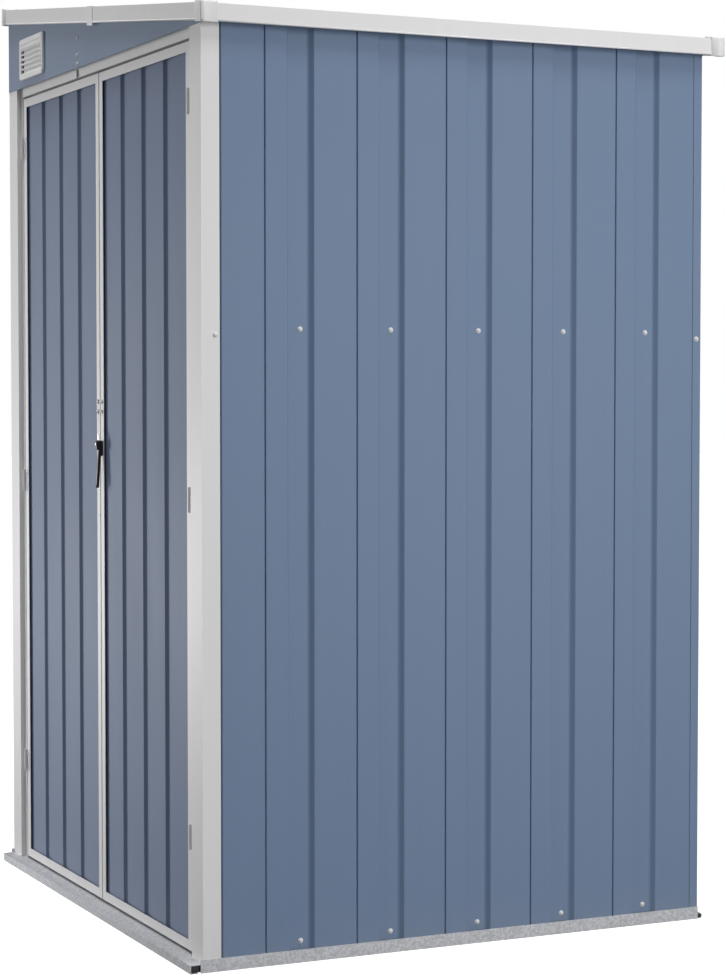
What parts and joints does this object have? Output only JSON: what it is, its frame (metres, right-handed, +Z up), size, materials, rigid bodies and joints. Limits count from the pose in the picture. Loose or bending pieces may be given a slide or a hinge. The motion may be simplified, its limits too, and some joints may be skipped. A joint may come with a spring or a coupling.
{
  "type": "metal storage shed",
  "caption": "Narrow lean-to metal garden shed with ribbed grey-blue walls, white posts and roof trim, and a pair of hinged doors in its gable end.",
  "frame": {"origin": "on the ground, at the middle of the rectangle that the whole shed covers, roof and sill included", "axes": "+Z up, +X to the right as seen from the doors, +Y to the back; the doors face -Y and the roof falls towards +X"},
  "size_m": [1.144, 1.048, 1.783],
  "materials": {
    "blue_steel": "grey-blue coated sheet, satin",
    "door_blue_steel": "grey-blue coated sheet, satin",
    "white_steel": "white coated folded sheet, semi-gloss",
    "white_caps": "white, semi-gloss",
    "white_hinges": "white coated",
    "white_plastic": "white moulded",
    "galvanised_steel": "bare zinc coating with fine spangle",
    "black_lock": "black"
  },
  "bodies": {
    "shed": {"front_base_rail": "galvanised_steel", "right_base_rail": "galvanised_steel", "left_base_rail": "galvanised_steel", "back_base_rail": "galvanised_steel", "front_right_post": "white_steel", "front_left_post": "white_steel", "back_right_post": "blue_steel", "back_left_post": "blue_steel", "right_wall": "blue_steel", "left_wall": "blue_steel", "back_wall": "blue_steel", "front_gable_panel": "blue_steel", "back_gable_panel": "blue_steel", "right_mid_rail": "galvanised_steel", "left_mid_rail": "galvanised_steel", "back_mid_rail": "galvanised_steel", "wall_top_rails": "galvanised_steel", "door_head": "white_steel", "right_door_jamb": "white_steel", "left_door_jamb": "white_steel", "jamb_hinges": "white_hinges", "vent": "white_plastic", "front_roof_panel": "blue_steel", "back_roof_panel": "blue_steel", "roof_beam": "galvanised_steel", "front_roof_trim": "white_steel", "back_roof_trim": "white_steel", "right_roof_trim": "white_steel", "left_roof_trim": "white_steel", "trim_joint_covers": "white_caps", "roof_corner_caps": "white_caps"},
    "left_door": {"left_door_panel": "door_blue_steel", "left_door_hinge_stile": "white_steel", "left_door_meeting_stile": "white_steel", "left_door_top_rail": "white_steel", "left_door_bottom_rail": "white_steel", "left_door_hinges": "white_hinges"},
    "right_door": {"right_door_panel": "door_blue_steel", "right_door_hinge_stile": "white_steel", "right_door_meeting_stile": "white_steel", "right_door_top_rail": "white_steel", "right_door_bottom_rail": "white_steel", "right_door_hinges": "white_hinges", "door_lock": "black_lock"}
  },
  "joints": [
    {"name": "left_door_hinge", "type": "hinge", "parent": "shed", "child": "left_door", "pos_m": [-0.4745, -0.4962, 0.8], "axis": [0, 0, -1], "range_deg": [0, 160]},
    {"name": "right_door_hinge", "type": "hinge", "parent": "shed", "child": "right_door", "pos_m": [0.4745, -0.4962, 0.8], "axis": [0, 0, 1], "range_deg": [0, 160]}
  ]
}
